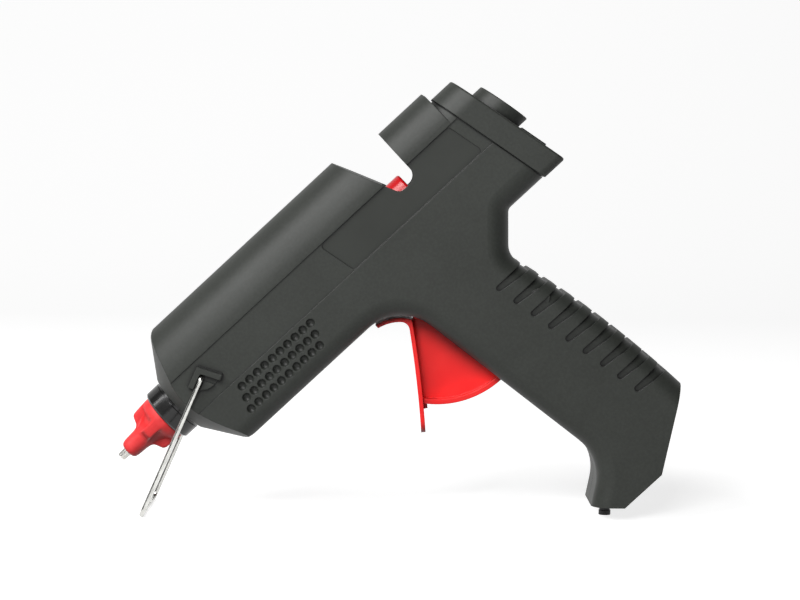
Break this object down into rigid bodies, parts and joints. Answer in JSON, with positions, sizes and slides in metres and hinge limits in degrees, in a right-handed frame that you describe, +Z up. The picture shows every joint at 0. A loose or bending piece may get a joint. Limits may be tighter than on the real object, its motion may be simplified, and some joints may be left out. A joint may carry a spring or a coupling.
{
  "type": "glue gun",
  "caption": "Pistol-shaped hot glue gun with a sprung red trigger, sliding stick feed, sleeved nozzle and a folding wire stand.",
  "frame": {"origin": "on the surface the gun stands on, under the middle of its bounding box", "axes": "+X runs from the nozzle end to the rear and grip end, +Z is up with the gun standing nose down on its wire stand, +Y is across the gun towards its right side"},
  "size_m": [0.2056, 0.0416, 0.1585],
  "materials": {
    "casing": "fine moulded texture",
    "collar": "gloss",
    "sleeve": "satin silicone",
    "steel": "bright",
    "aluminium": "cast",
    "ceramic": "fired ceramic",
    "brass": "bright",
    "glass_sleeve": "woven glass sleeve",
    "insulator": "phenolic board",
    "silicone": "satin silicone",
    "carriage_red": "gloss",
    "trigger_red": "satin",
    "wire": "zinc plated",
    "gland": "matt",
    "clear_plastic": "natural nylon",
    "wire_cover": "glass-braided cover"
  },
  "bodies": {
    "casing": {"chamber_ring_front": "insulator", "chamber_ring_rear": "insulator", "cord_clamp": "clear_plastic", "cord_gland": "gland", "front_collar": "collar", "heater_clip": "steel", "heater_contacts": "brass", "heater_plate": "ceramic", "heater_wires": "wire_cover", "housing_left": "casing", "housing_right": "casing", "housing_screws": "steel", "inlet_clamp": "steel", "inlet_sleeve": "silicone", "melting_chamber": "aluminium", "nozzle": "steel", "nozzle_sleeve": "sleeve", "rear_band": "casing", "return_spring": "steel", "stick_port_bush": "casing", "terminal_block": "clear_plastic", "terminal_screws": "brass", "thermal_cutout": "glass_sleeve", "trigger_pin": "steel", "valve_retainer": "steel", "valve_spring": "steel"},
    "trigger": {"trigger": "trigger_red"},
    "carriage": {"feed_carriage": "carriage_red", "jaw_pin": "steel", "jaw_spring": "steel"},
    "jaw": {"grip_jaw": "steel"},
    "valve": {"valve_ball": "steel"},
    "stand": {"wire_stand": "wire"}
  },
  "joints": [
    {"name": "trigger_pull", "type": "hinge", "parent": "casing", "child": "trigger", "pos_m": [0.01405, 0, 0.07583], "axis": [0, -1, 0], "range_deg": [0, 30], "stiffness_Nm_per_rad": 0.5, "springref_deg": -22.92},
    {"name": "carriage_slide", "type": "slide", "parent": "casing", "child": "carriage", "axis": [-0.7266, 0, -0.6871], "range_m": [0, 0.01287], "deforming": ["return_spring"]},
    {"name": "jaw_tilt", "type": "hinge", "parent": "carriage", "child": "jaw", "pos_m": [0.00223, 0, 0.09769], "axis": [0, -1, 0], "range_deg": [0, 6], "stiffness_Nm_per_rad": 0.02, "springref_deg": -17.19},
    {"name": "valve_slide", "type": "slide", "parent": "casing", "child": "valve", "axis": [-0.7266, 0, -0.6871], "range_m": [0, 0.0012], "stiffness_N_per_m": 200, "springref_m": -0.002, "deforming": ["valve_spring"]},
    {"name": "stand_fold", "type": "hinge", "parent": "casing", "child": "stand", "pos_m": [-0.07046, 0, 0.05138], "axis": [0, -1, 0], "range_deg": [0, 96]}
  ],
  "couplings": [
    {"joint": "carriage_slide", "follows": "trigger_pull", "m_per_rad": 0.024564}
  ]
}
